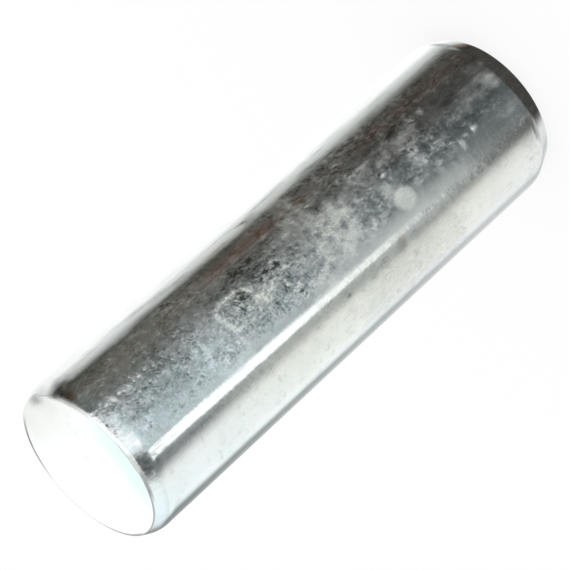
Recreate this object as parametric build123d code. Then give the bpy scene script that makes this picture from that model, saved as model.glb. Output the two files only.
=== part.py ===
"""Plain hinge pin: a turned steel bar with a lead-in cone at each end.

The pin is one solid of revolution that stands on its foot face.
+Z runs up the pin's axis, and the origin is the centre of the foot face.
All sizes are in millimetres.
"""
from build123d import *
import os

# Driving dimensions
SHANK_DIAMETER = 25.0
PIN_LENGTH = 82.0

# Each lead-in is a cone: how far it runs along the axis, and how far it steps in
FOOT_LEAD_LENGTH = 2.9
FOOT_LEAD_INSET = 1.35
TOP_LEAD_LENGTH = 1.9
TOP_LEAD_INSET = 1.0

# The turned corners are broken: the rim is where a cone meets its end face,
# and the shoulder is where it meets the shank
RIM_RADIUS = 0.5
SHOULDER_RADIUS = 0.8


def half_profile():
    """One half of the pin's lengthwise section, closed along the axis."""
    shank_radius = SHANK_DIAMETER / 2
    foot_rim = (shank_radius - FOOT_LEAD_INSET, 0)
    foot_shoulder = (shank_radius, FOOT_LEAD_LENGTH)
    top_shoulder = (shank_radius, PIN_LENGTH - TOP_LEAD_LENGTH)
    top_rim = (shank_radius - TOP_LEAD_INSET, PIN_LENGTH)

    with BuildSketch(Plane.XZ) as profile:
        with BuildLine():
            FilletPolyline(
                (0, 0),
                foot_rim,
                foot_shoulder,
                top_shoulder,
                top_rim,
                (0, PIN_LENGTH),
                radius=[RIM_RADIUS, SHOULDER_RADIUS, SHOULDER_RADIUS, RIM_RADIUS],
            )
            Line((0, PIN_LENGTH), (0, 0))
        make_face()
    return profile.sketch


def hinge_pin():
    """The whole pin, turned from its half profile about its own axis."""
    with BuildPart() as pin:
        add(half_profile())
        revolve(axis=Axis.Z)
    return pin.part


os.makedirs("parts", exist_ok=True)
export_step(hinge_pin(), "parts/hinge_pin.step")
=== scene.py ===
import math

import bpy
import numpy as np
from mathutils import Matrix, Vector

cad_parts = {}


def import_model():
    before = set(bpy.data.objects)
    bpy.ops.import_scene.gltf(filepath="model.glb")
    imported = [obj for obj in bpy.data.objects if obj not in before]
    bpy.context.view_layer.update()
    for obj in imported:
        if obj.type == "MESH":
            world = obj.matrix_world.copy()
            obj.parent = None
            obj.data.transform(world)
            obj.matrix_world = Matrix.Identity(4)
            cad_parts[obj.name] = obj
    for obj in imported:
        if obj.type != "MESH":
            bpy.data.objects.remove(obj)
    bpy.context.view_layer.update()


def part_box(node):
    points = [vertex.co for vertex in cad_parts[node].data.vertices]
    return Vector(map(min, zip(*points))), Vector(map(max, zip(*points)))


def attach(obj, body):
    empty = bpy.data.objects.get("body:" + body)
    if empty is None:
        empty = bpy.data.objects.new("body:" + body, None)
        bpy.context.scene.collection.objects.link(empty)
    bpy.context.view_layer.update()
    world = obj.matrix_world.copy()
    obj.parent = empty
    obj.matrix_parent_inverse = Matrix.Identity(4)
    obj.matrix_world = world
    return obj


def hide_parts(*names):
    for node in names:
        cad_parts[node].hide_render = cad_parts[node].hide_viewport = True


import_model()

# The scene is in metres. Heights, widths and depths on the pin are written in millimetres,
# and angles in degrees round its axis: 0 faces the camera, and +90 is the +X side.
LOW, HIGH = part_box("hinge_pin")
MM = 0.001
LENGTH = (HIGH.z - LOW.z) / MM
RADIUS = (HIGH.x - LOW.x) / 2 / MM

# The lead-in cones and broken corners of the pin's solid
TOP_LEAD_LENGTH = 1.9
TOP_LEAD_INSET = 1.0
FOOT_LEAD_LENGTH = 2.9
FOOT_LEAD_INSET = 1.35
RIM_RADIUS = 0.5

# Both shoulders are worn rounder than the drawing has them
WORN_TOP_SHOULDER = 4.0
WORN_FOOT_SHOULDER = 3.8

# The mesh: how far apart its rings are, in millimetres, and its columns, in degrees. The rings are closer
# together above MARKED_FROM, and the columns on the FRONT, where most of the marks are.
FACE_SPACING = 0.8
EDGE_SPACING = 0.18
EDGE_BAND = 1.0
CONE_SPACING = 0.26
MARKED_FROM = 43
MARKED_SPACING = 0.22
SHANK_SPACING = 0.42
CENTRE_HOLE = 0.3
FRONT = (-34, 56)
FRONT_STEP = 0.6
BACK_COLUMNS = 120
# How many steps each rounded corner has, from the foot's rim to the top's
CORNER_STEPS = (5, 7, 6, 8)

MARK_SEED = 7


# ------------------------------------------------------------------ node helper

class Graph:
    """Short calls for building a node tree."""

    def __init__(self, tree):
        self.tree = tree
        tree.nodes.clear()

    def new(self, kind, **settings):
        node = self.tree.nodes.new(kind)
        for name, value in settings.items():
            setattr(node, name, value)
        return node

    def put(self, value, socket):
        if isinstance(value, bpy.types.NodeSocket):
            self.tree.links.new(value, socket)
        elif isinstance(value, tuple) and len(value) == 3 and socket.type == "RGBA":
            socket.default_value = (*value, 1.0)
        elif value is not None:
            socket.default_value = value

    def fill(self, node, **values):
        for name, value in values.items():
            self.put(value, node.inputs[name.replace("_", " ")])
        return node

    def math(self, operation, a, b=None, c=None):
        node = self.new("ShaderNodeMath", operation=operation)
        for value, socket in zip((a, b, c), node.inputs):
            self.put(value, socket)
        return node.outputs[0]

    def plus(self, a, b):
        return self.math("ADD", a, b)

    def minus(self, a, b):
        return self.math("SUBTRACT", a, b)

    def least(self, a, b):
        return self.math("MINIMUM", a, b)

    def most(self, a, b):
        return self.math("MAXIMUM", a, b)

    def absolute(self, value):
        return self.math("ABSOLUTE", value)

    def times(self, first, *others):
        for other in others:
            first = self.math("MULTIPLY", first, other)
        return first

    def step(self, value, low, high, out_low=0.0, out_high=1.0):
        """A smooth change from out_low at low to out_high at high."""
        if low > high:
            low, high, out_low, out_high = high, low, out_high, out_low
        node = self.new("ShaderNodeMapRange", interpolation_type="SMOOTHSTEP")
        self.fill(node, Value=value, From_Min=low, From_Max=high, To_Min=out_low, To_Max=out_high)
        return node.outputs["Result"]

    def between(self, value, start, full, fade, end):
        """1 from full to fade, easing to 0 at start and at end."""
        return self.times(self.step(value, start, full), self.step(value, end, fade))

    def slope(self, value, low, high, out_low, out_high):
        """A straight change from out_low at low to out_high at high, level beyond them."""
        node = self.new("ShaderNodeMapRange")
        self.fill(node, Value=value, From_Min=low, From_Max=high, To_Min=out_low, To_Max=out_high)
        return node.outputs["Result"]

    def mix(self, factor, a, b, blend="MIX"):
        node = self.new("ShaderNodeMix", data_type="RGBA", blend_type=blend)
        for value, socket in ((factor, 0), (a, 6), (b, 7)):
            self.put(value, node.inputs[socket])
        return node.outputs[2]

    def ramp(self, value, stops):
        node = self.new("ShaderNodeValToRGB")
        elements = node.color_ramp.elements
        elements.remove(elements[-1])
        for index, (place, colour) in enumerate(stops):
            element = elements[0] if index == 0 else elements.new(place)
            element.position = place
            element.color = (*colour, 1.0)
        self.put(value, node.inputs["Fac"])
        return node.outputs["Color"]

    def noise(self, vector, scale, detail=3.0, roughness=0.5, distortion=0.0):
        node = self.new("ShaderNodeTexNoise")
        self.fill(node, Vector=vector, Scale=scale, Detail=detail, Roughness=roughness,
                  Distortion=distortion)
        return node.outputs["Fac"]

    def warped(self, vector, scale, distance):
        """The vector pushed about by noise of that scale, by up to half that distance."""
        push = self.new("ShaderNodeTexNoise")
        self.fill(push, Vector=vector, Scale=scale, Detail=1.0)
        centred = self.new("ShaderNodeVectorMath", operation="SUBTRACT")
        self.put(push.outputs["Color"], centred.inputs[0])
        centred.inputs[1].default_value = (0.5, 0.5, 0.5)
        node = self.new("ShaderNodeVectorMath", operation="MULTIPLY_ADD")
        self.put(centred.outputs["Vector"], node.inputs[0])
        node.inputs[1].default_value = (distance * 2, distance * 2, distance * 2)
        self.put(vector, node.inputs[2])
        return node.outputs["Vector"]

    def stretched(self, vector, x, y, z):
        node = self.new("ShaderNodeVectorMath", operation="MULTIPLY")
        self.put(vector, node.inputs[0])
        node.inputs[1].default_value = (x, y, z)
        return node.outputs["Vector"]

    def shifted(self, vector, distance):
        node = self.new("ShaderNodeVectorMath", operation="ADD")
        self.put(vector, node.inputs[0])
        node.inputs[1].default_value = (distance, distance * 1.7, distance * 2.3)
        return node.outputs["Vector"]

    def painted(self, name):
        return self.new("ShaderNodeAttribute", attribute_name=name).outputs["Fac"]

    def bump(self, height, depth, normal=None):
        """Relief of that depth, in millimetres, where height is 1."""
        node = self.new("ShaderNodeBump")
        self.fill(node, Height=height, Distance=depth * MM, Strength=1.0)
        if normal is not None:
            self.put(normal, node.inputs["Normal"])
        return node.outputs["Normal"]


def tone(red, green, blue):
    """A screen colour, 0 to 255, as linear light."""
    def light(value):
        value /= 255
        return value / 12.92 if value <= 0.04045 else ((value + 0.055) / 1.055) ** 2.4
    return light(red), light(green), light(blue)


# ------------------------------------------------------------------ the pin's mesh

def rounded_corner(before, corner, after, radius, steps):
    """Points of the arc that rounds a corner of the half profile."""
    before, corner, after = Vector(before), Vector(corner), Vector(after)
    to_before = (before - corner).normalized()
    to_after = (after - corner).normalized()
    half = to_before.angle(to_after) / 2
    centre = corner + (to_before + to_after).normalized() * (radius / math.sin(half))
    first = (corner + to_before * (radius / math.tan(half)) - centre).normalized()
    last = (corner + to_after * (radius / math.tan(half)) - centre).normalized()
    return [tuple(centre + first.slerp(last, i / steps) * radius) for i in range(steps + 1)]


def run(start, end, spacing):
    """Points between start and end, about that far apart."""
    start, end = Vector(start), Vector(end)
    count = max(1, round((end - start).length / spacing))
    return [tuple(start.lerp(end, i / count)) for i in range(1, count)]


def half_profile():
    """Radius and height of each ring of the mesh, from the foot's centre to the top's."""
    foot_rim = (RADIUS - FOOT_LEAD_INSET, 0)
    foot_shoulder = (RADIUS, FOOT_LEAD_LENGTH)
    top_shoulder = (RADIUS, LENGTH - TOP_LEAD_LENGTH)
    top_rim = (RADIUS - TOP_LEAD_INSET, LENGTH)
    foot_centre, top_centre = (CENTRE_HOLE, 0), (CENTRE_HOLE, LENGTH)
    line = [foot_centre, foot_rim, foot_shoulder, top_shoulder, top_rim, top_centre]
    radii = (RIM_RADIUS, WORN_FOOT_SHOULDER, WORN_TOP_SHOULDER, RIM_RADIUS)
    corners = [
        rounded_corner(*three, radius, steps)
        for three, radius, steps in zip(zip(line, line[1:], line[2:]), radii, CORNER_STEPS)
    ]
    foot_band = (corners[0][0][0] - EDGE_BAND, 0)
    top_band = (corners[-1][-1][0] - EDGE_BAND, LENGTH)
    points = [foot_centre] + run(foot_centre, foot_band, FACE_SPACING) + [foot_band]
    marked = (RADIUS, MARKED_FROM)
    corners.insert(2, [marked])
    spacings = (EDGE_SPACING, CONE_SPACING, SHANK_SPACING, MARKED_SPACING, CONE_SPACING)
    for corner, spacing in zip(corners, spacings):
        points += run(points[-1], corner[0], spacing) + corner
    points += run(points[-1], top_band, EDGE_SPACING) + [top_band]
    return np.array(points + run(top_band, top_centre, FACE_SPACING) + [top_centre])


class Skin:
    """The pin's surface as a grid of points, rings by turns, with what is painted or cut on it."""

    def __init__(self):
        rings = half_profile()
        front = np.arange(*FRONT, FRONT_STEP)
        back = np.linspace(FRONT[1], FRONT[0] + 360, BACK_COLUMNS, endpoint=False)
        turn = (np.concatenate([front, back]) + 180) % 360 - 180
        self.angle = np.repeat(turn[None, :], len(rings), axis=0)
        self.radius = np.repeat(rings[:, 0][:, None], len(turn), axis=1)
        self.height = np.repeat(rings[:, 1][:, None], len(turn), axis=1)
        self.random = np.random.default_rng(MARK_SEED)
        self.dent = np.zeros_like(self.angle)
        self.paint = {}
        along = np.gradient(rings, axis=0)
        along /= np.linalg.norm(along, axis=1)[:, None]
        self.out_radius = along[:, 1][:, None]
        self.out_height = -along[:, 0][:, None]
        # The shank and both cones, without the end faces, and the foot's cone alone
        self.on_side = (self.height > 0.05) & (self.height < LENGTH - 0.02)
        self.foot_cone = smooth(FOOT_LEAD_LENGTH + 0.3, FOOT_LEAD_LENGTH - 0.7, self.height)

    def noise(self, cell, stretch=1.0):
        """Smooth noise, 0 to 1: its cells' width in millimetres, and how stretched along the pin."""
        round_cells = max(3, round(2 * math.pi * RADIUS / cell))
        up_cells = max(2, round(LENGTH / (cell * stretch))) + 3
        grid = self.random.random((up_cells, round_cells))
        across = (self.angle + 180) / 360 * round_cells
        up = self.height / LENGTH * (up_cells - 3)
        column = np.floor(across).astype(int)
        row = np.floor(up).astype(int)
        a, b = across - column, up - row
        a, b = a * a * (3 - 2 * a), b * b * (3 - 2 * b)

        def at(r, c):
            return grid[r, c % round_cells]

        low = at(row, column) * (1 - a) + at(row, column + 1) * a
        high = at(row + 1, column) * (1 - a) + at(row + 1, column + 1) * a
        return low * (1 - b) + high * b

    def cloud(self, cell, stretch=1.0):
        """Noise of three sizes, each half the last, 0 to 1."""
        return (self.noise(cell, stretch) * 4 + self.noise(cell / 2, stretch) * 2
                + self.noise(cell / 4, stretch)) / 7

    def offset(self, angle, height):
        """How far each point is from a place on the side, in millimetres, round and up."""
        return ((self.angle - angle + 180) % 360 - 180) * math.pi / 180 * RADIUS, self.height - height

    def patch(self, angle, height, wide, tall, ragged=0.0, soft=0.35, cell=2.0):
        """1 inside an oval patch, 0 outside it; ragged is how much noise moves its edge."""
        across, up = self.offset(angle, height)
        distance = np.hypot(across / wide, up / tall)
        if ragged:
            distance = distance + (self.cloud(cell) - 0.5) * 2 * ragged
        return smooth(1 + soft, 1 - soft, distance) * self.on_side

    def outline(self, angle, height, wide, tall, line):
        """1 along the wavering rim of a rounded box, 0 elsewhere."""
        across, up = self.offset(angle, height)
        squareness = 3.2
        distance = (np.abs(across / wide) ** squareness + np.abs(up / tall) ** squareness) ** (1 / squareness)
        distance = distance + (self.noise(1.5) - 0.5) * 0.22 + (self.noise(0.45) - 0.5) * 0.16
        return np.exp(-(((distance - 1) * min(wide, tall) / line) ** 2)) * self.on_side

    def streak(self, angle, low, high, wide):
        """1 along a lengthwise line that frays at its ends."""
        across, _ = self.offset(angle, 0)
        across = across + (self.noise(3, 4) - 0.5) * 0.5
        ends = between(self.height, low - 2, low + 2, high - 2, high + 2)
        return np.exp(-((across / wide) ** 2)) * ends * self.on_side

    def stroke(self, angle, height, long, wide, lean, bend=0.0):
        """1 along a short line: half its length and width, degrees from upright, and how it curves."""
        reach = long * 1.4 + 1
        # Only the part of the grid that the line can reach is worked out
        columns = np.abs((self.angle[0] - angle + 180) % 360 - 180) < math.degrees(reach / RADIUS)
        rows = np.abs(self.height[:, 0] - height) < reach
        window = np.ix_(rows, columns)
        across = ((self.angle[window] - angle + 180) % 360 - 180) * math.pi / 180 * RADIUS
        up = self.height[window] - height
        lean = math.radians(lean)
        along = up * math.cos(lean) + across * math.sin(lean)
        aside = across * math.cos(lean) - up * math.sin(lean) - bend * along ** 2
        mask = np.exp(-((along / long) ** 4) - (aside / wide) ** 2)
        return window, mask * self.on_side[window]

    def draw(self, name, strength, *place):
        window, mask = self.stroke(*place)
        self.paint[name][window] = np.maximum(self.paint[name][window], mask * strength)

    def scatter(self, name, chance, count, long, wide, strength):
        """Draws that many seeded strokes, where chance finds them likely."""
        while count:
            angle = self.random.uniform(-18, 48)
            height = self.random.uniform(3, 81.6)
            if self.random.random() > chance(angle, height):
                continue
            count -= 1
            lean = self.random.choice(SCRATCH_LEANS) + self.random.normal(0, 8)
            shown = self.random.uniform(0.35, 1) * strength
            half_long = self.random.uniform(0.4, 1) * long
            half_wide = self.random.uniform(0.7, 1.2) * wide
            bend = self.random.normal(0, 0.35)
            self.draw(name, shown, angle, height, half_long, half_wide, lean, bend)

    def nick(self, angle, height, size, depth):
        """Presses in a small dent."""
        across, up = self.offset(angle, height)
        distance = np.hypot(across, up) / size
        self.dent = self.dent - depth * np.exp(-(distance ** 2) * 2) * self.on_side


def smooth(low, high, value):
    """A smooth change from 0 at low to 1 at high, either of which may be the larger."""
    share = np.clip((value - low) / (high - low), 0, 1)
    return share * share * (3 - 2 * share)


def between(value, start, full, fade, end):
    """1 from full to fade, easing to 0 at start and at end."""
    return smooth(start, full, value) * smooth(end, fade, value)


# Soft patches, most of them pale and dull stains, and two of them painted shade low near the foot: angle,
# height, half width, half height, how ragged, and how pale, or dull below zero
PATCHES = [
    (5, 78.8, 2.8, 1.5, 0.5, 0.36), (19, 79, 1.0, 1.0, 0.5, 0.2), (8, 75.2, 0.9, 1.2, 0.6, 0.28),
    (-3, 76.6, 0.8, 1.3, 0.6, 0.36), (-7, 71, 0.5, 0.8, 0.6, 0.2), (8, 71, 0.9, 1.0, 0.6, 0.18),
    (6, 80.9, 3.6, 0.5, 0.9, 0.3), (-17.5, 79.9, 0.9, 0.4, 0.6, 0.5), (-24, 80.7, 1.6, 0.5, 0.7, -0.25),
    (-20, 81.3, 0.8, 0.4, 0.6, -0.35), (-31, 80.5, 0.9, 0.4, 0.6, 0.2), (44, 81.3, 1.8, 0.6, 0.4, -0.16),
    (64, 79.8, 2.2, 2.4, 0.7, -0.1), (53.5, 81.3, 0.9, 0.7, 0.4, -0.4), (4, 62.6, 4.4, 4.6, 0.4, 0.2),
    (-7, 65.2, 0.9, 1.8, 0.5, 0.16), (5, 65.2, 1.3, 1.3, 0.7, 0.22), (-1, 67.3, 1.2, 0.9, 0.5, 0.08),
    (4.5, 61, 1.6, 0.8, 0.4, 0.26), (-10, 62.5, 2.0, 5.0, 0.4, 0.2), (0, 59.1, 2.4, 0.5, 0.6, 0.14),
    (4, 56.8, 1.6, 2.2, 0.5, 0.16), (5, 52.2, 1.5, 1.9, 0.5, 0.48), (7, 49.2, 0.9, 1.3, 0.5, 0.36),
    (28, 52, 1.4, 1.9, 0.6, -0.1), (36.2, 50, 0.7, 6.0, 0.3, 0.04), (32, 50, 0.7, 5.0, 0.3, 0.08),
    (18.5, 52.3, 0.9, 0.8, 0.6, -0.08), (-6, 54.8, 1.0, 1.8, 0.6, -0.14), (45, 53, 0.9, 5.0, 0.3, -0.1),
    (12, 49.3, 0.8, 0.5, 0.5, -0.3), (13, 56.2, 0.8, 1.8, 0.6, -0.1), (22, 50, 2.0, 4.0, 0.6, -0.05),
    (7, 40.5, 6.0, 7.0, 0.4, 0.2), (6, 38.0, 3.4, 3.9, 0.5, 0.36), (2, 41.5, 1.0, 0.9, 0.6, 0.2),
    (9, 36, 0.6, 0.6, 0.6, -0.3), (3, 39.8, 0.5, 0.5, 0.6, -0.3), (10, 40.6, 0.5, 0.6, 0.6, -0.35),
    (4, 36.6, 0.5, 0.4, 0.6, -0.3), (12, 38.4, 0.4, 0.7, 0.6, -0.3), (16, 40.8, 0.6, 1.0, 0.6, -0.25),
    (-4, 38.8, 2.0, 2.2, 0.5, 0.12), (35, 40.3, 4.0, 1.6, 0.3, 0.11), (13, 35.4, 1.4, 1.3, 0.7, 0.18),
    (5, 31.5, 6.0, 5.0, 0.4, 0.12), (23.5, 35.6, 1.0, 2.9, 0.5, -0.13), (2, 28, 1.2, 1.6, 0.6, 0.22),
    (5, 21.3, 1.6, 1.0, 0.6, 0.24), (19, 22, 1.8, 8.0, 0.4, 0.07), (-14, 21, 1.6, 8.0, 0.4, 0.04),
    (-3, 11.6, 1.2, 2.4, 0.6, -0.13), (20, 25, 0.8, 6.0, 0.3, 0.1), (27, 49, 1.6, 5.0, 0.5, -0.09),
    (8, 10, 0.8, 4.0, 0.4, 0.1), (10, 4.4, 1.0, 1.2, 0.6, 0.16), (21, 4.6, 1.1, 1.8, 0.7, 0.08),
    (0, 5.2, 1.2, 1.4, 0.4, -0.08), (-10, 5, 1.4, 2.2, 0.6, 0.03), (10, 4.2, 2.4, 1.2, 0.9, 0.1),
    (-16, 12, 1.8, 4.0, 0.3, -0.1), (21, 10, 1.2, 5.0, 0.5, -0.06), (24, 13, 0.5, 0.9, 0.5, -0.12),
    (27.5, 21.5, 0.5, 1.0, 0.5, -0.12), (28, 5, 1.2, 2.4, 0.4, -0.1), (-52, 31, 4.6, 11.5, 0.4, -0.17),
    # The first two patches on the next line are painted shade, darker towards the foot's end
    (-50, 4.4, 6.0, 2.0, 0.3, -0.07), (-34, 4.8, 1.5, 2.4, 0.3, -0.1), (46, 60, 0.6, 3.0, 0.3, -0.08),
    (44, 78, 1.6, 3.0, 0.4, -0.12), (49, 9, 0.8, 8.0, 0.3, -0.1), (53, 20, 0.8, 3.0, 0.4, -0.1),
    (-27, 71, 0.6, 11.0, 0.3, -0.08), (52, 47, 0.7, 1.6, 0.4, 0.2), (24.5, 28.3, 0.3, 2.0, 0.5, 0.2),
    (-7, 14.6, 0.9, 0.45, 0.5, 0.3), (25, 15.5, 0.6, 0.5, 0.5, 0.1), (44, 2.0, 2.4, 1.2, 0.3, -0.12),
    (-30, 31, 0.9, 0.9, 0.6, -0.2), (-26, 31, 1.2, 0.5, 0.6, -0.08), (31, 21, 0.6, 8.0, 0.4, -0.06),
    (-12, 43, 1.6, 4.0, 0.5, 0.12), (12, 70.5, 2.6, 2.6, 0.6, -0.05), (-3, 73, 2.2, 1.8, 0.6, -0.06),
    (-26.5, 80.9, 0.7, 1.2, 0.5, -0.2),
]
# Small grey ticks, most of them on the bright side, in the same way but all of them dull
TICKS = [
    (-56, 57.3, 0.5, 0.3, 0.5, 0.4), (-42, 57.5, 0.5, 0.25, 0.5, 0.35), (-59, 69.8, 0.45, 0.25, 0.4, 0.45),
    (-54, 70, 0.35, 0.2, 0.4, 0.4), (-47, 69, 1.2, 0.6, 0.6, 0.14), (-37, 72, 1.1, 0.15, 0.3, 0.3),
    (-56, 50, 0.5, 0.25, 0.5, 0.4), (-50.5, 48.2, 0.4, 0.25, 0.4, 0.35), (-52.5, 51.2, 0.4, 0.15, 0.4, 0.3),
    (-31.5, 42.2, 0.4, 0.4, 0.4, 0.7), (-38, 78.2, 0.4, 0.4, 0.5, 0.35), (-63, 78.5, 0.5, 0.8, 0.5, 0.3),
    (-42, 29.4, 0.4, 0.5, 0.5, 0.4), (-34, 24.6, 1.0, 0.18, 0.3, 0.45), (-57.5, 34, 0.5, 0.3, 0.5, 0.2),
    (-43, 64.7, 0.4, 0.2, 0.5, 0.35), (-52, 72.2, 0.4, 0.2, 0.5, 0.25), (62, 74, 0.5, 0.9, 0.5, 0.2),
    (60, 31.8, 0.6, 0.8, 0.5, 0.2), (120, 60, 0.5, 0.3, 0.5, 0.4), (150, 35, 0.4, 0.5, 0.5, 0.4),
    (-150, 50, 0.6, 0.3, 0.5, 0.4), (-120, 22, 0.4, 0.3, 0.5, 0.4), (175, 68, 0.5, 0.4, 0.5, 0.4),
]
# Small dings, each pressed in as a dent and given a painted highlight, a bright glint: angle, height, size,
# how bright
DINGS_AND_GLINTS = [
    (-5, 11.7, 0.46, 1.0), (-5, 13.3, 0.24, 0.7), (0.5, 12.5, 0.25, 0.4), (11, 27.1, 0.34, 1.0),
    (1.2, 28.5, 0.25, 0.5), (0.5, 49, 0.25, 1.0), (29, 38.1, 0.28, 0.8), (31.3, 38.6, 0.26, 0.8),
    (27.5, 37.7, 0.2, 0.5), (19, 78.4, 0.5, 1.0), (20, 77.2, 0.34, 1.0), (19, 75.5, 0.3, 0.9),
    (19.5, 73.5, 0.28, 0.9), (18.5, 71, 0.26, 0.7), (-8, 23.8, 0.2, 0.5), (-3, 22.6, 0.22, 0.6),
    (19.6, 79.6, 0.3, 1.0), (18.6, 76.4, 0.26, 0.9), (19.4, 74.5, 0.24, 0.9), (20.2, 72.2, 0.24, 0.8),
    (8, 76, 0.2, 0.8), (4, 74.5, 0.18, 0.7), (12, 77.3, 0.2, 0.7), (23, 66, 0.2, 0.6), (2, 81.2, 0.25, 0.8),
    (7, 80.7, 0.22, 0.8), (12, 81.1, 0.2, 0.8), (16, 80.6, 0.18, 0.8), (21, 80.4, 0.2, 0.8),
    (100, 44, 0.3, 0.7), (-140, 61, 0.3, 0.7), (165, 20, 0.3, 0.7),
]
# Single pale scratches: angle, height, half length, half width, degrees from upright, curve, how strong
LIGHT_STROKES = [
    (19, 56.3, 2.5, 0.22, 0, -0.05, 0.9), (17.5, 58.6, 0.8, 0.2, -50, 0, 0.7),
    (17.3, 54, 0.8, 0.24, 48, 0, 0.8), (13.6, 53.8, 0.6, 0.3, 75, 0, 0.7),
    (16.6, 57, 1.0, 0.28, -8, 0, 0.7), (7, 59.3, 2.0, 0.22, 88, -0.04, 0.35),
    (-2.5, 58.5, 0.6, 0.3, 30, 0, 0.7), (1, 57.2, 1.1, 0.14, 60, 0, 0.7),
    (-1.5, 56.2, 1.0, 0.14, 25, 0.2, 0.45), (4.6, 57.2, 1.3, 0.16, 5, 0.1, 0.5),
    (8.6, 56.8, 1.2, 0.15, -12, 0.2, 0.5), (3, 55.2, 1.0, 0.16, 30, 0, 0.5),
    (7, 55, 0.9, 0.18, -30, 0, 0.5), (10.4, 55.3, 1.1, 0.15, 10, 0, 0.5),
    (12, 57.4, 0.8, 0.14, 20, 0, 0.45), (15, 51.5, 0.4, 0.16, 50, 0, 0.9),
    (12, 50.8, 0.9, 0.18, 115, 0, 0.7), (7, 49.2, 0.5, 0.35, 0, 0, 0.55), (28, 49, 0.7, 0.25, 10, 0, 0.5),
    (22, 52.7, 0.5, 0.22, 0, 0, 0.5), (24.5, 52.9, 0.3, 0.2, 40, 0, 0.5),
    (7.7, 65.6, 0.4, 0.35, 70, 0, 0.8), (4.5, 64.4, 0.8, 0.4, -35, 0, 0.85),
    (14, 65.5, 1.2, 0.16, 108, 0, 0.7), (17, 64.8, 0.7, 0.16, 120, 0, 0.6),
    (12, 66.1, 0.9, 0.14, 95, 0, 0.5), (1.3, 63.1, 0.5, 0.3, -30, 0, 0.6),
    (9, 62.6, 0.7, 0.16, 92, 0, 0.85), (10.5, 63.6, 1.0, 0.15, 60, 0.1, 0.5),
    (14, 63.5, 0.8, 0.16, 35, 0, 0.5), (5, 60.8, 1.0, 0.5, 85, 0, 0.4), (15.5, 60.1, 0.4, 0.3, 0, 0, 0.5),
    (0.5, 67.4, 0.7, 0.16, 50, 0, 0.4), (5.5, 69.5, 0.8, 0.15, 12, 0, 0.4),
    (-2.5, 66.2, 0.9, 0.15, -40, 0, 0.4), (-9.5, 55, 0.3, 0.25, 20, 0, 0.7),
    (-6.5, 62, 7.0, 0.1, 0, 0, 0.3), (19.7, 68, 9.0, 0.09, 0, 0, 0.3), (33.6, 53, 9.0, 0.12, 0, 0, 0.2),
    (24.4, 28.5, 1.9, 0.2, 3, 0, 0.5), (17.5, 7.2, 3.2, 0.22, 2, 0, 0.3), (7, 21.2, 1.0, 0.22, -50, 0, 0.6),
    (3, 22.6, 0.7, 0.2, -25, 0, 0.5), (-6.5, 14.7, 0.8, 0.2, 85, 0, 0.6),
    (-3, 23.2, 0.8, 0.13, -40, 0, 0.6), (22.6, 50, 3.0, 0.12, 0, 0, 0.5), (26, 47, 3.0, 0.12, 0, 0, 0.4),
    (30.6, 49.4, 3.0, 0.12, 0, 0, 0.4), (25.3, 15.6, 0.4, 0.3, 60, 0, 0.4),
    (8, 13.5, 1.0, 0.2, -20, 0, 0.25), (37, 61, 9.0, 0.1, 0, 0, 0.22), (2, 81.0, 1.4, 0.14, 75, 0, 1.3),
    (8, 80.8, 1.2, 0.14, 105, 0, 1.2), (13, 80.6, 1.3, 0.13, 70, 0, 1.2),
    (18, 80.9, 1.0, 0.13, 100, 0, 1.0), (5, 80.2, 1.5, 0.13, 85, 0, 1.1), (-3, 80.5, 1.2, 0.18, 60, 0, 1.3),
    (-1, 79.9, 0.7, 0.14, 30, 0, 1.0), (10, 79.8, 0.8, 0.13, -35, 0, 0.9),
]
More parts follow.
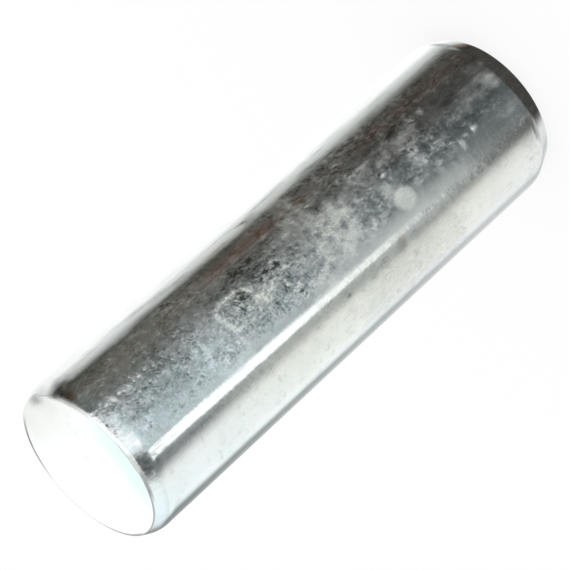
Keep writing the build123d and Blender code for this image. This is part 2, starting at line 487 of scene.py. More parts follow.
# Single dark ones, in the same way
DARK_STROKES = [
    (14, 58.2, 0.4, 0.35, 70, 0, 0.7), (13.4, 55.5, 0.9, 0.55, 8, 0, 0.5), (8, 58.9, 0.25, 0.3, 0, 0, 0.6),
    (12.6, 58.9, 0.25, 0.3, 0, 0, 0.6), (6.5, 58.2, 0.6, 0.25, 0, 0, 0.45),
    (9.5, 57.6, 0.5, 0.25, 0, 0, 0.45), (-7.4, 54.6, 1.3, 0.16, 0, 0, 0.65),
    (-5, 54.4, 1.4, 0.16, 3, 0, 0.7), (-1.6, 54.6, 1.6, 0.17, 0, 0, 0.7), (1.6, 54.9, 0.8, 0.2, 20, 0, 0.5),
    (0.8, 60, 0.7, 0.14, -38, 0, 0.8), (-2, 64.8, 0.5, 0.22, 95, 0, 0.6), (12, 52, 1.1, 0.4, 20, 0, 0.55),
    (19, 51.9, 0.9, 0.6, 60, 0, 0.5), (16.5, 52.9, 0.6, 0.3, 0, 0, 0.5), (29, 53.2, 0.9, 0.5, 80, 0, 0.25),
    (-1.8, 49.2, 1.3, 0.4, 3, 0, 0.55), (12, 49.7, 0.8, 0.3, 110, 0, 0.5),
    (14.5, 47.6, 0.6, 0.5, 20, 0, 0.45), (2.5, 47.8, 0.4, 0.3, 50, 0, 0.6), (21, 46.5, 1.4, 0.3, 8, 0, 0.5),
    (25, 49, 1.0, 0.4, 0, 0, 0.5), (30.5, 46, 1.5, 0.4, 0, 0, 0.5), (9, 45.5, 1.0, 0.2, 12, 0, 0.45),
    (5, 62.2, 0.7, 0.2, 60, 0, 0.45), (12, 61.7, 0.9, 0.25, 80, 0, 0.4), (-4, 70, 1.5, 0.3, 10, 0, 0.3),
    (6, 71, 1.2, 0.3, -20, 0, 0.35), (14, 70, 1.5, 0.4, 5, 0, 0.35), (2, 68, 0.6, 0.2, 40, 0, 0.4),
    (20.6, 50, 3.0, 0.2, 0, 0, 0.4), (28.2, 50, 3.4, 0.25, 0, 0, 0.4), (24.4, 46, 2.0, 0.2, 0, 0, 0.4),
    (25, 37.6, 1.6, 0.5, 15, 0, 0.3), (-27.5, 71, 3.2, 0.25, 0, 0, 0.4), (-26.5, 80.9, 0.7, 1.4, 0, 0, 0.4),
    (5, 81.4, 2.5, 0.12, 90, 0, 0.35), (12, 80.2, 1.2, 0.18, 80, 0, 0.5),
    (17, 81.3, 1.4, 0.12, 95, 0, 0.35), (0, 80.2, 0.8, 0.16, 70, 0, 0.6), (22, 80.5, 1.0, 0.3, 45, 0, 0.6),
    (-24.5, 79.3, 0.5, 0.4, 70, 0, 0.6), (-19.6, 78.6, 1.5, 0.09, 2, 0, 0.9),
    (-17.6, 77.8, 0.9, 0.08, -2, 0, 0.8), (-21.2, 79.2, 0.5, 0.2, 20, 0, 1.0),
    (-18.6, 79.9, 0.4, 0.25, 60, 0, 0.9), (-20.4, 75.4, 0.7, 0.07, 0, 0, 0.8),
    (-22.3, 77.5, 0.6, 0.12, 0, 0, 0.8), (-1.5, 26.3, 1.0, 0.16, 15, 0, 0.5),
    (-4, 25.1, 0.8, 0.16, 75, 0, 0.45), (-21, 80.6, 0.5, 0.5, 40, 0, 0.6),
]


# Dark lines on the top's edge, partly grime and partly painted shade where the rim turns away: from and to,
# in millimetres past the face's rim, the four angles that each one fades in and out between, and how strong
GRIME_AND_SHADE_LINES = [
    (-0.4, -0.3, -26, -14, 48, 60, 0.16), (-0.06, 0.04, -150, -118, -36, -20, 0.85),
    (-0.06, 0.04, 50, 58, 72, 84, 0.6), (-0.06, 0.14, -54, -42, -30, -20, 0.7),
    (-0.24, -0.1, -28, -22, -8, 4, 0.42), (-0.25, 0.2, -28, -24, -14, -9, 0.36),
    (-0.4, 0.1, -152, -126, -106, -90, 0.7), (-0.5, 0.1, 106, 134, 150, 174, 1.0),
]
# Chips near the top, each pressed in as a small dent and given a painted highlight, a bright glint: from and
# to, and how large. Each band has as many of them.
CHIP_AND_GLINT_BANDS = [(79.9, 81.7, 0.3), (79.9, 81.7, 0.22), (67.0, 79.8, 0.15)]
CHIP_GLINTS_IN_BAND = 34
CHIP_GLINT_ANGLES = (-7, 24)
# How deep the dings and chips are, in millimetres, and the height above which they are shallow
SHANK_DENT = 0.05
CONE_DENT = 0.022
SHALLOW_ABOVE = 79.5
# The ways that scattered scratches lean, in degrees from upright
SCRATCH_LEANS = [0, 12, -15, 35, -40, 62, -65, 90]
# How strongly the placed dark strokes and the ticks show
SCORE_STRENGTH = 0.62
TICK_STRENGTH = 0.5


def scuffed(angle, up):
    """How likely a fine scratch lies there: mostly on the front of the upper half."""
    return 0.004 + between(angle, -16, -5, 15, 27) * (0.07 + 0.93 * smooth(40, 54, up))


def scuffed_near_top(angle, up):
    return scuffed(angle, up) * smooth(66, 69, up)


def scuffed_below_top(angle, up):
    return scuffed(angle, up) * smooth(72, 62, up)


def paint_scratches(skin):
    """Pale scratches, and dull scores and ticks."""
    skin.paint["scratch"] = np.zeros_like(skin.angle)
    skin.paint["dull"] = np.zeros_like(skin.angle)
    for *place, strength in LIGHT_STROKES:
        skin.draw("scratch", strength, *place)
    for *place, strength in DARK_STROKES:
        skin.draw("dull", strength * SCORE_STRENGTH, *place)
    skin.scatter("scratch", scuffed, count=620, long=0.8, wide=0.13, strength=1)
    skin.scatter("scratch", scuffed_near_top, count=150, long=0.2, wide=0.14, strength=2.1)
    skin.scatter("dull", scuffed_below_top, count=420, long=0.7, wide=0.17, strength=0.3)

    # A faint line along the top's shoulder, on the bright side
    shoulder = LENGTH - TOP_LEAD_LENGTH + 0.1
    line = smooth(0.3, 0.1, np.abs(skin.height - shoulder)) * between(skin.angle, -88, -76, -48, -38)
    dull = np.maximum(skin.paint["dull"], line * 0.12)
    for *place, strength in TICKS:
        dull = np.maximum(dull, skin.patch(*place) * strength * TICK_STRENGTH)
    skin.paint["dull"] = dull


def paint_stains(skin):
    """Pale stains and dull patches, with painted shade near the foot's end among them, and the mottling round
    them.
    """
    around, height = skin.angle, skin.height
    shift = np.zeros_like(around)
    for *place, strength in PATCHES:
        shift = shift + skin.patch(*place) * strength

    # Fine lengthwise mottling at the dark side's far edge and low on the front
    edge = between(around, 43, 50, 62, 70) * (0.15 + 0.3 * smooth(16, 28, height))
    low = between(around, -28, -24, 26, 34) * smooth(34, 27, height)
    shift = shift + (skin.noise(0.7, 6) - 0.5) * (edge + low * 0.22) * skin.on_side
    # Short dark streaks and blots half way up the dark side
    dark_side = between(around, 13, 19, 30, 35) * between(height, 41, 46, 55, 59)
    shift = shift + (skin.noise(0.5, 4) - 0.56) * dark_side * 0.26
    shift = shift + (skin.cloud(1.6, 2.0) - 0.54) * dark_side * 0.4
    # Broader blots low on the front
    blots = low * (0.26 + 0.2 * smooth(14, 22, height)) * skin.on_side
    shift = shift + (skin.cloud(2.2, 1.3) - 0.5) * blots
    skin.paint["shift"] = shift * (1 - 0.8 * skin.foot_cone)


def paint_film(skin):
    """The worn ring and the round pale spot, and how much the wear darkens each place, more on the side that
    reflects dark, as painted shade.
    """
    around, height = skin.angle, skin.height
    ring = skin.outline(8.2, 56.7, 2.35, 3.0, 0.26) * (0.48 + 0.1 * smooth(0, 14, around))
    spot = skin.patch(-8.8, 26.8, 1.65, 1.7, 0.17, 0.28, 1.3) * 0.66
    skin.paint["film"] = np.maximum(ring * (0.3 + 1.2 * skin.cloud(0.7)), spot)
    # The same wear is painted darker on the side that reflects dark: painted shade that follows the
    # reflection
    reflects_dark = between(around, -14, 26, 50, 70) * (1 - 0.45 * smooth(58, 66, height))
    skin.paint["dimming_with_shade"] = 0.9 - 0.3 * smooth(64, 70, height) + 1.7 * reflects_dark


def paint_curls(skin):
    """Where the fine curly scratches lie, and below zero the dark ones in the pale area."""
    curls = skin.patch(7, 57, 3.0, 3.6, 0.3) + skin.patch(5, 52.5, 2.2, 2.0, 0.4) * 0.7
    curls = curls + skin.patch(5, 64.5, 3.2, 2.6, 0.5) * 0.8
    curls = np.clip(curls, 0, 1) - skin.patch(6, 38.3, 4.2, 4.6, 0.5) * 0.7
    skin.paint["curls"] = curls * skin.on_side


def paint_grit(skin):
    """How rough and speckled the plating is."""
    around, height = skin.angle, skin.height
    # The front, most of all its upper half
    grit = 0.42 + 0.06 * smooth(26, 32, height) + 0.5 * smooth(40, 48, height)
    grit = grit * between(around, -18, -10, 12, 26) * (1 + 0.3 * smooth(4, -8, around))
    grit = grit * (1 - 0.6 * smooth(0, -14, around) * smooth(34, 28, height))
    grit = grit * (1 - 0.35 * between(height, 33, 35, 41, 44))
    # Beside the lamp's reflection, and the dark side
    beside_lamp = between(around, -21, -16, -10, 0) * (0.2 + 0.12 * smooth(34, 44, height))
    dark_side = between(around, 16, 24, 44, 52) * (0.36 + 0.1 * smooth(58, 66, height))
    grit = np.maximum(np.maximum(grit, beside_lamp), dark_side)
    grit = np.maximum(grit, skin.patch(22, 49, 3, 8, 0.3) * 0.44)
    grit = grit * (1 - 0.5 * skin.patch(39, 51, 1.6, 6, 0.3))
    # Inside the ring
    grit = np.maximum(grit, skin.patch(9, 57, 2.2, 2.8, 0.2))
    # Smoother near the foot and on the pale spot
    grit = grit * (1 - 0.4 * smooth(18, 12, height) * smooth(0, 6, around))
    grit = grit * (1 - 0.9 * skin.patch(-7.6, 26.7, 2.0, 2.2, 0.1))
    # The lamp's dark edge, and the back
    grit = np.maximum(grit, skin.patch(-29, 45, 1.5, 36, 0.3) * 0.4)
    grit = np.maximum(grit, smooth(60, 90, np.abs(around)) * skin.cloud(9) * 0.7)
    grit = grit * (1 - 0.7 * skin.foot_cone)

    top_cone = 0.4 * smooth(50, 40, around) + 0.5 * smooth(-10, -18, around)
    top_cone = top_cone + 0.9 * between(around, -8, 0, 18, 28)
    top_cone = top_cone * between(height, 79.4, 80.2, 81.5, 81.7) * smooth(-44, -36, around)
    grit = np.where(height > 79.8, top_cone, grit) * skin.on_side
    skin.paint["grit"] = np.maximum(grit, 0.1 + 0.16 * between(around, -74, -66, -34, -28))


def paint_blush(skin):
    """Faint reddish streaks on the dark side."""
    blush = skin.streak(35, 36, 58, 0.35) * 0.36 + skin.streak(39.5, 42, 56, 0.45) * 0.36
    blush = blush + skin.streak(36, 3, 27, 0.9) * 0.6 + skin.streak(18, 3, 26, 0.5) * 0.2
    blush = blush + skin.patch(36.5, 45.5, 0.5, 0.8, 0.4) * 1.1 + skin.patch(38, 50, 1.5, 7.5, 0.4) * 0.1
    blush = blush + skin.patch(36.5, 37.6, 0.7, 1.0, 0.4) * 0.5 + skin.patch(45, 1.6, 1.3, 0.9, 0.4) * 0.9
    blush = blush + skin.streak(37, 58, 79, 0.5) * 0.25 + skin.patch(-29, 30.8, 1.4, 0.6, 0.8) * 0.22
    blush = blush + skin.patch(42, 51, 2.2, 7.0, 0.4) * 0.22 + skin.patch(43, 81.1, 1.4, 0.5, 0.3) * 0.9
    skin.paint["blush"] = np.clip(blush * (0.2 + 1.3 * skin.cloud(0.7, 7)), 0, 1)


def press_dings_and_paint_glints(skin):
    """Small dings, and a frosting of chips near the top: dents pressed in, each with a painted highlight, a
    bright glint.
    """
    painted_glint, uneven = np.zeros_like(skin.angle), skin.noise(0.5)
    chip_glints = []
    for low, high, size in CHIP_AND_GLINT_BANDS:
        for _ in range(CHIP_GLINTS_IN_BAND):
            angle, up = skin.random.uniform(*CHIP_GLINT_ANGLES), skin.random.uniform(low, high)
            chip_glints.append((angle, up, size * skin.random.uniform(0.6, 1), skin.random.uniform(0.4, 1)))
    for angle, up, size, strength in DINGS_AND_GLINTS + chip_glints:
        across, rise = skin.offset(angle, up)
        lean = skin.random.uniform(0, math.pi)
        along = across * math.cos(lean) + rise * math.sin(lean)
        aside = rise * math.cos(lean) - across * math.sin(lean)
        reach = (along ** 2 + (aside * 1.7) ** 2) / (size * (0.5 + 1.1 * uneven)) ** 2
        painted_glint = np.maximum(painted_glint, np.exp(-reach) * strength)
        skin.nick(angle, up, size * 1.3, SHANK_DENT if up < SHALLOW_ABOVE else CONE_DENT)
    skin.paint["painted_glint"] = painted_glint * skin.on_side


def paint_face_reflection_tints(skin):
    """Painted reflection: the bright end face is faintly tinted cool and warm near its edge."""
    around, radius = skin.angle, skin.radius
    face = (skin.height > LENGTH - 0.05) * 1.0
    skin.paint["cool_reflection"] = face * smooth(6, 9.5, radius) * between(around, -80, -30, 0, 40)
    skin.paint["warm_reflection"] = face * smooth(2, 11, radius) * between(around, 20, 75, 110, 150) * 0.5


def paint_grime_and_edge_shade(skin):
    """Dark paint along the top's edge, partly grime and partly painted shade: thin lines, thicker at the far
    left, a smudge, and painted shade greying the cone's far left towards the rim.
    """
    around, radius = skin.angle, skin.radius
    lip = RADIUS - TOP_LEAD_INSET
    near = (skin.height > LENGTH - 0.35) * 1.0
    grime_and_edge_shade = np.zeros_like(around)
    for inner, outer, *angles, strength in GRIME_AND_SHADE_LINES:
        line = between(radius - lip, inner - 0.08, inner, outer, outer + 0.06)
        grime_and_edge_shade = np.maximum(grime_and_edge_shade, near * line * between(around, *angles) * strength)
    fringe = near * smooth(10.8, 11.5, radius) * between(around, 16, 44, 58, 66)
    grime_and_edge_shade = np.maximum(grime_and_edge_shade, fringe * 0.62)
    smudge = near * smooth(9.9, 10.9, radius) * np.exp(-((around - 80) / 9) ** 2)
    grime_and_edge_shade = np.maximum(grime_and_edge_shade, smudge * 0.7)
    # Painted shade: the cone's far left greys towards the rim
    haze = skin.patch(70, 81.9, 2.8, 1.1, 0.3, 0.8) * smooth(9.4, 11, radius)
    grime_and_edge_shade = np.maximum(grime_and_edge_shade, haze * 0.32)
    skin.paint["grime_and_edge_shade"] = grime_and_edge_shade * (0.7 + 0.3 * skin.cloud(1.5))


def paint_marks(skin):
    """Paints each kind of mark, always in this order, because they share one row of random numbers."""
    for paint in (paint_scratches, paint_stains, paint_film, paint_curls, paint_grit, paint_blush,
                  press_dings_and_paint_glints, paint_face_reflection_tints, paint_grime_and_edge_shade):
        paint(skin)


def make_pin():
    skin = Skin()
    paint_marks(skin)
    radius = skin.radius + skin.dent * skin.out_radius
    height = skin.height + skin.dent * skin.out_height
    turn = np.radians(skin.angle)
    points = np.stack([radius * np.sin(turn), -radius * np.cos(turn), height], axis=-1).reshape(-1, 3)
    points = np.vstack([points, [[0, 0, 0], [0, 0, LENGTH]]]) * MM
    rings, around = skin.angle.shape
    ring = np.arange(rings - 1)[:, None] * around
    here, after = ring + np.arange(around), ring + (np.arange(around) + 1) % around
    faces = np.stack([here, after, after + around, here + around], axis=-1).reshape(-1, 4).tolist()
    foot_centre, top_centre = rings * around, rings * around + 1
    last_ring = (rings - 1) * around
    for i in range(around):
        j = (i + 1) % around
        faces.append([j, i, foot_centre])
        faces.append([last_ring + i, last_ring + j, top_centre])
    mesh = bpy.data.meshes.new("hinge_pin_finish")
    mesh.from_pydata(points.tolist(), [], faces)
    mesh.validate()
    mesh.polygons.foreach_set("use_smooth", [True] * len(mesh.polygons))
    for name, values in skin.paint.items():
        data = mesh.attributes.new(name, "FLOAT", "POINT").data
        data.foreach_set("value", np.append(values.ravel(), [0.0, 0.0]))
    pin = bpy.data.objects.new("hinge_pin_finish", mesh)
    bpy.context.scene.collection.objects.link(pin)
    return pin


# ------------------------------------------------------------------ the zinc

ZINC = (0.83, 0.84, 0.84)
ZINC_SHADE = 0.96
CREAM_PALE = tone(240, 244, 232)
BLUISH_PALE = tone(225, 240, 245)
# Painted highlight: the near-white of the glints on the dings and chips
PAINTED_GLINT = tone(250, 252, 252)
BLUSH = tone(198, 162, 148)
# Dark grey of the grime and painted shade along the top's edge
GRIME_AND_EDGE_SHADE = tone(90, 96, 92)
SOOT = tone(96, 97, 93)
# Painted reflection: cool and warm tints on the bright end face
COOL_FACE_REFLECTION = (0.66, 0.775, 0.757)
WARM_FACE_REFLECTION = (0.535, 0.547, 0.49)
# Slight changes of hue: what the colour is multiplied by, along the noise that tints it
HUES = [
    (0.3, (0.93, 1, 1)), (0.42, (0.96, 1, 0.98)), (0.5, (0.99, 1, 1)), (0.6, (1, 0.99, 1.02)),
    (0.7, (1, 0.985, 0.95)),
]
# How strongly the wear and the curls show, how pale that makes the zinc, and how dark it may be
WEAR_STRENGTH = 0.19
CURL_STRENGTH = 0.4
PALENESS = 0.78
DARKEST = 0.88
# How rough the polished plating is, and how much rougher and less metallic it is under stains
POLISH = (0.06, 0.10)
STAIN_ROUGHNESS = 0.35
STAIN_COVER = 0.85
# Relief in the plating, in millimetres
BLOTCH_RELIEF = 0.02
FLECK_RELIEF = 0.006


def zinc():
    material = bpy.data.materials.new("bright_zinc")
    material.use_nodes = True
    g = Graph(material.node_tree)
    place = g.new("ShaderNodeTexCoord").outputs["Object"]
    mm = g.stretched(place, 1 / MM, 1 / MM, 1 / MM)

    # The side rolled out flat: millimetres round, and millimetres up
    split = g.new("ShaderNodeSeparateXYZ")
    g.put(mm, split.inputs[0])
    up = split.outputs["Z"]
    turn = g.math("ARCTAN2", split.outputs["X"], g.times(split.outputs["Y"], -1.0))
    flat = g.fill(g.new("ShaderNodeCombineXYZ"), X=g.times(turn, RADIUS), Y=up).outputs[0]

    # Noise of several sizes, the first two of them for blots and specks
    blotch = g.noise(mm, 0.65, 3, 0.6)
    fleck = g.noise(g.shifted(mm, 70), 2.6, 2, 0.6)
    cloud = g.noise(mm, 0.16, 3, 0.55)
    tint = g.noise(g.shifted(mm, 90), 0.6, 4, 0.75)
    uneven = g.noise(g.shifted(mm, 140), 0.32, 2, 0.5)

    def brushed(lean, shift, across, along):
        """Noise in short strokes: degrees from upright, its place in the noise, and its scale each way."""
        lay = g.new("ShaderNodeMapping", vector_type="TEXTURE")
        g.fill(lay, Vector=flat, Rotation=(0, 0, math.radians(lean)), Scale=(1 / across, 1 / along, 1),
               Location=(shift, shift * 1.3, 0))
        return g.noise(lay.outputs[0], 1.0, 2.0, 0.6)

    # Fine strokes that cross each other, of which the palest and the darkest show, with blots and specks
    strokes = g.most(brushed(-32, 25, 2.2, 0.7), brushed(20, 45, 2.3, 0.6))
    pits = g.least(brushed(-4, 5, 2.3, 0.55), brushed(-70, 65, 1.7, 0.8))
    wear = g.times(g.minus(strokes, 0.56), 9.0)
    wear = g.plus(wear, g.times(g.minus(pits, 0.44), g.slope(up, 60, 68, 7.5, 4.5)))
    wear = g.plus(wear, g.times(g.minus(blotch, 0.5), 8.0))
    wear = g.plus(wear, g.times(g.minus(fleck, 0.5), 3.0))
    wear = g.times(wear, g.slope(uneven, 0.38, 0.62, 0.55, 1.6))

    # Thin curling lines, broken here and there
    curl = g.noise(g.warped(flat, 0.5, 1.6), 0.8, 1.0, 0.5)
    curl = g.slope(g.absolute(g.minus(curl, 0.5)), 0.0, 0.045, 1, 0)
    curl = g.times(curl, g.step(fleck, 0.36, 0.56))

    # How pale the surface is, or how dark below zero
    shift = g.times(g.painted("shift"), g.slope(blotch, 0.3, 0.7, 0.55, 1.45))
    shift = g.plus(shift, g.times(g.painted("grit"), wear, WEAR_STRENGTH))
    shift = g.plus(shift, g.times(g.painted("curls"), curl, CURL_STRENGTH))
    shift = g.plus(shift, g.times(g.painted("scratch"), g.slope(fleck, 0.3, 0.7, 0.25, 0.55)))
    shift = g.plus(shift, g.painted("film"))
    light = g.least(g.most(g.times(shift, PALENESS), 0.0), 1.0)
    # Dull shifts darken by the dimming, which adds painted shade on the side that reflects dark
    dark = g.most(g.times(shift, -1.0, g.painted("dimming_with_shade")), 0.0)
    dark = g.plus(dark, g.times(g.painted("dull"), g.slope(fleck, 0.7, 0.3, 0.7, 1.2)))
    dark = g.least(dark, DARKEST)

    colour = g.mix(g.step(cloud, 0.35, 0.65), tuple(v * ZINC_SHADE for v in ZINC), ZINC)
    # Painted reflection: cool and warm tints on the end face
    colour = g.mix(g.painted("cool_reflection"), colour, COOL_FACE_REFLECTION)
    colour = g.mix(g.painted("warm_reflection"), colour, WARM_FACE_REFLECTION)
    colour = g.mix(g.painted("blush"), colour, BLUSH)
    colour = g.mix(dark, colour, SOOT)
    colour = g.mix(light, colour, g.mix(g.step(up, 54, 64), CREAM_PALE, BLUISH_PALE))
    colour = g.mix(g.plus(g.painted("grit"), 0.3), colour, g.ramp(tint, HUES), "MULTIPLY")
    # Painted highlight: bright glints on the dings and chips
    colour = g.mix(g.painted("painted_glint"), colour, PAINTED_GLINT)
    # Grime and painted shade along the top's edge
    colour = g.mix(g.painted("grime_and_edge_shade"), colour, GRIME_AND_EDGE_SHADE)

    # Pale stains, the painted glints, and the grime and painted edge shade cover the metal
    cover = g.most(light, g.most(g.painted("painted_glint"), g.painted("grime_and_edge_shade")))
    rough = g.plus(g.slope(fleck, 0.35, 0.7, *POLISH), g.times(cover, STAIN_ROUGHNESS))
    metallic = g.minus(1.0, g.times(cover, STAIN_COVER))
    normal = g.bump(g.times(blotch, g.painted("grit")), BLOTCH_RELIEF)
    normal = g.bump(g.times(fleck, g.painted("grit")), FLECK_RELIEF, normal)

    shader = g.new("ShaderNodeBsdfPrincipled")
    g.fill(shader, Base_Color=colour, Roughness=rough, Metallic=metallic, Normal=normal)
    out = g.new("ShaderNodeOutputMaterial")
    g.put(shader.outputs[0], out.inputs["Surface"])
    return material


# ------------------------------------------------------------------ the studio

# What the pin reflects, by degrees round it. The first three are screen tones, for rays that leave the
# front 78, 55 and 20 mm up. The rest are how much red and blue differ from the first tone, and from the
# third.
SHANK_RING = [
    (-180, 205, 215, 222, -3, 0, -2, 0), (-166, 160, 190, 202, -3, 0, -2, 0),
    (-158, 150, 180, 198, -4, 0, -2, 0), (-150, 138, 166, 190, -5, 0, -3, 1),
    (-143, 141, 162, 192, -6, 0, -3, 1), (-137, 184, 202, 214, -7, 0, -3, 1),
    (-132, 232, 238, 229, -7, 0, -3, 1), (-126, 246, 244, 231, -7, 1, -1, 0),
    (-110, 240, 236, 230, -8, 1, 0, -1), (-90, 243, 228, 226, -7, -1, -1, -3),
    (-76, 236, 226, 210, -5, -2, 0, -3), (-69, 204, 210, 180, -3, -1, 0, -4),
    (-65, 178, 196, 150, -3, -1, -1, -3), (-60, 130, 179, 110, -4, 0, -1, -2),
    (-52, 120, 178, 92, -5, 0, -2, -1), (-40, 162, 172, 112, -9, 1, -5, 0),
    (-28, 204, 186, 106, -12, 3, -5, 0), (-16, 196, 172, 110, -13, 5, -5, 0),
    (-4, 176, 148, 92, -12, 4, -5, 0), (12, 156, 144, 84, -11, 2, -4, 0), (30, 134, 118, 84, -7, 0, -1, -2),
    (46, 113, 102, 76, -4, -3, 0, -3), (58, 103, 98, 70, -1, -5, 2, -4), (80, 102, 96, 73, 1, -7, 3, -5),
    (91, 90, 88, 70, 0, -8, 1, -5), (97, 74, 106, 114, -1, -6, -1, -4),
    (104, 126, 184, 160, -2, -5, -2, -4), (110, 188, 202, 186, -2, -3, -3, -3),
    (118, 212, 218, 208, -1, -1, -3, -2), (128, 243, 249, 248, 0, 0, -1, -1),
]
# The same for rays that rise, as the top's cone sends them: degrees, tone, red, blue
CONE_RING = [
    (-180, 176, -2, 0), (-168, 184, -2, 0), (-159, 214, -5, 1), (-148, 238, -12, 5), (-126, 241, -14, 6),
    (-110, 243, -12, 4), (-84, 242, -7, 2), (-74, 234, -5, 1), (-66, 170, -4, 0), (-60, 138, -4, 0),
    (-43, 122, -5, 0), (-33, 134, -5, 1), (-27, 170, -5, 1), (-21, 252, -3, 0), (-9, 250, -4, 0),
    (-1, 206, -9, 4), (10, 186, -10, 4), (22, 178, -10, 3), (38, 142, -7, 1), (56, 104, -4, -3),
    (78, 98, -1, -5), (90, 72, 2, -8), (101, 76, 1, -6), (109, 152, -1, -2), (115, 210, -1, -1),
    (122, 248, 0, 0), (150, 250, 0, 0), (170, 236, -1, 0), (180, 176, -2, 0),
]
# And for rays that fall steeply, as the foot's cone sends them at either side
LOW_RING = [
    (-180, 234, -2, 0), (-160, 228, -2, 0), (-143, 217, -2, 0), (-128, 219, -2, -1), (-112, 194, -2, -1),
    (-95, 180, -3, -2), (-86, 172, -3, -2), (-82, 152, -3, -2), (-73, 112, -2, -2), (-60, 104, -2, -2),
    (110, 140, -2, -4), (120, 164, -2, -4), (142, 184, -3, -4), (150, 208, -3, -3), (160, 228, -2, -2),
    (172, 246, -1, 0),
]
RING_GAIN = 1.27
# How steeply those three rays fall, as the rise of a line of length 1
TOP_RAY, MIDDLE_RAY, FOOT_RAY = -0.42, -0.463, -0.518

CREAM_WALL = (1.0, 1.0, 0.95)
LAMP_HIGH = (1.35, 1.42, 1.41)
LAMP_LOW = (1.1, 1.11, 1.04)
LAMP_HAZE = tone(210, 216, 213)
FAR_EDGE = tone(158, 161, 160)
UNDER_FOOT = tone(72, 70, 67)


def ring_stops(rows):
    """Ramp stops for rows of degrees, tone, red shift and blue shift."""
    stops = []
    for degrees, grey, red, blue in rows:
        light = tone(min(255, grey + red), grey, min(255, grey + blue))
        stops.append(((degrees + 180) / 360, tuple(v * RING_GAIN for v in light)))
    return stops


def world():
    studio = bpy.data.worlds.new("studio")
    bpy.context.scene.world = studio
    studio.use_nodes = True
    g = Graph(studio.node_tree)
    split = g.new("ShaderNodeSeparateXYZ")
    g.put(g.new("ShaderNodeTexCoord").outputs["Generated"], split.inputs[0])
    aside, rise = split.outputs["X"], split.outputs["Z"]
    turn = g.math("ARCTAN2", aside, g.times(split.outputs["Y"], -1.0))
    degrees = g.times(turn, 180 / math.pi)
    share = g.math("MULTIPLY_ADD", degrees, 1 / 360, 0.5)

    def ring(rows):
        return g.ramp(share, ring_stops(rows))

    tops, middles, feet = [], [], []
    for angle, high, middle, low, high_red, high_blue, low_red, low_blue in SHANK_RING:
        tops.append((angle, high, high_red, high_blue))
        middles.append((angle, middle, (high_red + low_red) / 2, (high_blue + low_blue) / 2))
        feet.append((angle, low, low_red, low_blue))
    light = g.mix(g.slope(rise, FOOT_RAY, MIDDLE_RAY, 0, 1), ring(feet), ring(middles))
    light = g.mix(g.slope(rise, MIDDLE_RAY, TOP_RAY, 0, 1), light, ring(tops))
    light = g.mix(g.step(rise, -0.3, 0.0), light, ring(CONE_RING))

    # One side of the room is cream coloured half way down
    cream = g.times(g.between(degrees, -132, -112, -56, -46), g.between(rise, -0.542, -0.522, -0.456, -0.435))
    light = g.mix(cream, light, CREAM_WALL, "MULTIPLY")

    # A slanting strip lamp ends before the foot, in a wider haze
    haze = g.absolute(g.plus(degrees, 46))
    haze = g.times(g.step(haze, 28, 4), g.between(rise, -0.534, -0.515, -0.498, -0.486), 0.85)
    light = g.mix(haze, light, LAMP_HAZE)
    lean = g.slope(rise, -0.5, -0.43, -47.4, -40.2)
    half = g.slope(rise, -0.5, -0.43, 4.2, 6.3)
    lamp = g.step(g.minus(g.absolute(g.minus(degrees, lean)), half), 1.3, -1.3)
    lamp = g.times(lamp, g.between(rise, -0.506, -0.497, -0.22, -0.12))
    light = g.mix(lamp, light, g.mix(g.step(rise, -0.5, -0.455), LAMP_LOW, LAMP_HIGH))

    # Behind the pin a dark edge lies along the horizon
    behind = g.most(g.step(degrees, -146, -162), g.step(degrees, 168, 178))
    behind = g.times(behind, g.between(rise, -0.395, -0.34, 0.14, 0.26))
    light = g.mix(behind, light, FAR_EDGE)

    # It is white overhead, and from lower down behind the pin
    far_back = g.step(g.absolute(degrees), 120, 140)
    white = g.most(g.step(rise, 0.48, 0.56), g.times(far_back, g.step(rise, 0.1, 0.3)))
    light = g.mix(white, light, (RING_GAIN,) * 3)

    # The low sides, and the shade under the foot
    left = g.times(g.step(degrees, 96, 130), g.step(rise, -0.57, -0.65))
    lower = g.plus(rise, g.slope(degrees, -102, -88, 0.1, 0.0))
    right = g.times(g.step(degrees, -48, -60), g.step(lower, -0.6, -0.7))
    light = g.mix(g.most(left, right), light, ring(LOW_RING))
    under = g.math("MULTIPLY_ADD", aside, 0.12, -0.835)
    light = g.mix(g.step(g.minus(rise, under), 0.045, -0.045), light, UNDER_FOOT)

    # Only reflections see this room: to the camera and to the floor the world is plain white
    rays = g.new("ShaderNodeLightPath")
    shader = g.new("ShaderNodeBackground")
    g.put(g.mix(rays.outputs["Is Glossy Ray"], (1, 1, 1), light), shader.inputs["Color"])
    out = g.new("ShaderNodeOutputWorld")
    g.put(shader.outputs[0], out.inputs["Surface"])


FLOOR_HALF = 3.0
FLOOR_GREY = (0.85, 0.85, 0.85)
# To the camera it is a dark surface with a pale glow, so that it is nearly white and keeps a soft shadow
SEEN_GREY = (0.18, 0.18, 0.18)
SEEN_GLOW = 0.82


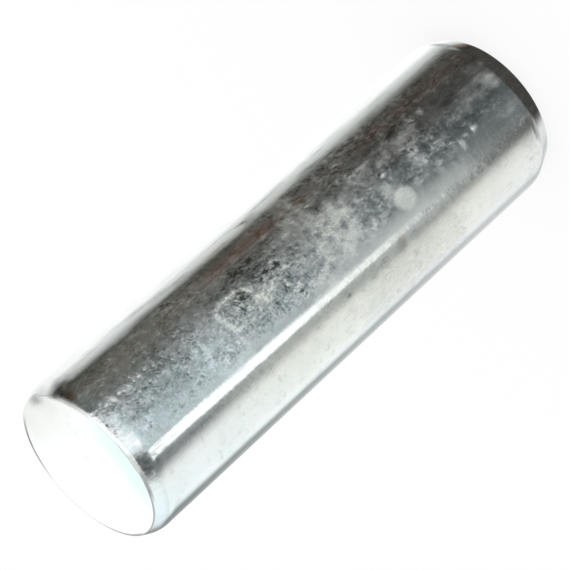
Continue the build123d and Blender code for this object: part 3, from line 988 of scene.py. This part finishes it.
def floor():
    mesh = bpy.data.meshes.new("floor")
    turns = [(-1, -1), (1, -1), (1, 1), (-1, 1)]
    mesh.from_pydata([(x * FLOOR_HALF, y * FLOOR_HALF, 0) for x, y in turns], [], [(0, 1, 2, 3)])
    plane = bpy.data.objects.new("floor", mesh)
    bpy.context.scene.collection.objects.link(plane)
    plane.visible_glossy = False
    material = bpy.data.materials.new("floor_white")
    material.use_nodes = True
    g = Graph(material.node_tree)
    seen = g.new("ShaderNodeLightPath").outputs["Is Camera Ray"]
    paint = g.fill(g.new("ShaderNodeBsdfDiffuse"), Color=g.mix(seen, FLOOR_GREY, SEEN_GREY))
    glow = g.fill(g.new("ShaderNodeEmission"), Strength=g.times(seen, SEEN_GLOW))
    both = g.new("ShaderNodeAddShader")
    g.put(paint.outputs[0], both.inputs[0])
    g.put(glow.outputs[0], both.inputs[1])
    out = g.new("ShaderNodeOutputMaterial")
    g.put(both.outputs[0], out.inputs["Surface"])
    mesh.materials.append(material)


# The camera looks down on the pin from the front, from far off, and is rolled on its side
VIEW_ELEVATION = math.radians(28.26)
VIEW_ROLL = math.radians(-132.18)
VIEW_DISTANCE = 490.2
VIEW_LENS = 230.19
VIEW_AIM = (0.27, 0.0, LENGTH / 2 + 1.6)


def camera():
    data = bpy.data.cameras.new("camera")
    data.sensor_width = 36
    data.lens = VIEW_LENS
    data.clip_start = 0.01
    data.clip_end = 20
    eye = bpy.data.objects.new("camera", data)
    bpy.context.scene.collection.objects.link(eye)
    tilt = Matrix.Rotation(math.pi / 2 - VIEW_ELEVATION, 3, "X")
    eye.rotation_euler = (tilt @ Matrix.Rotation(VIEW_ROLL, 3, "Z")).to_euler()
    back = Vector((0, -math.cos(VIEW_ELEVATION), math.sin(VIEW_ELEVATION)))
    eye.location = (Vector(VIEW_AIM) + back * VIEW_DISTANCE) * MM
    bpy.context.scene.camera = eye


bpy.context.scene.view_settings.view_transform = "Standard"
pin = make_pin()
pin.data.materials.append(zinc())
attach(pin, "root")
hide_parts("hinge_pin")
world()
floor()
camera()
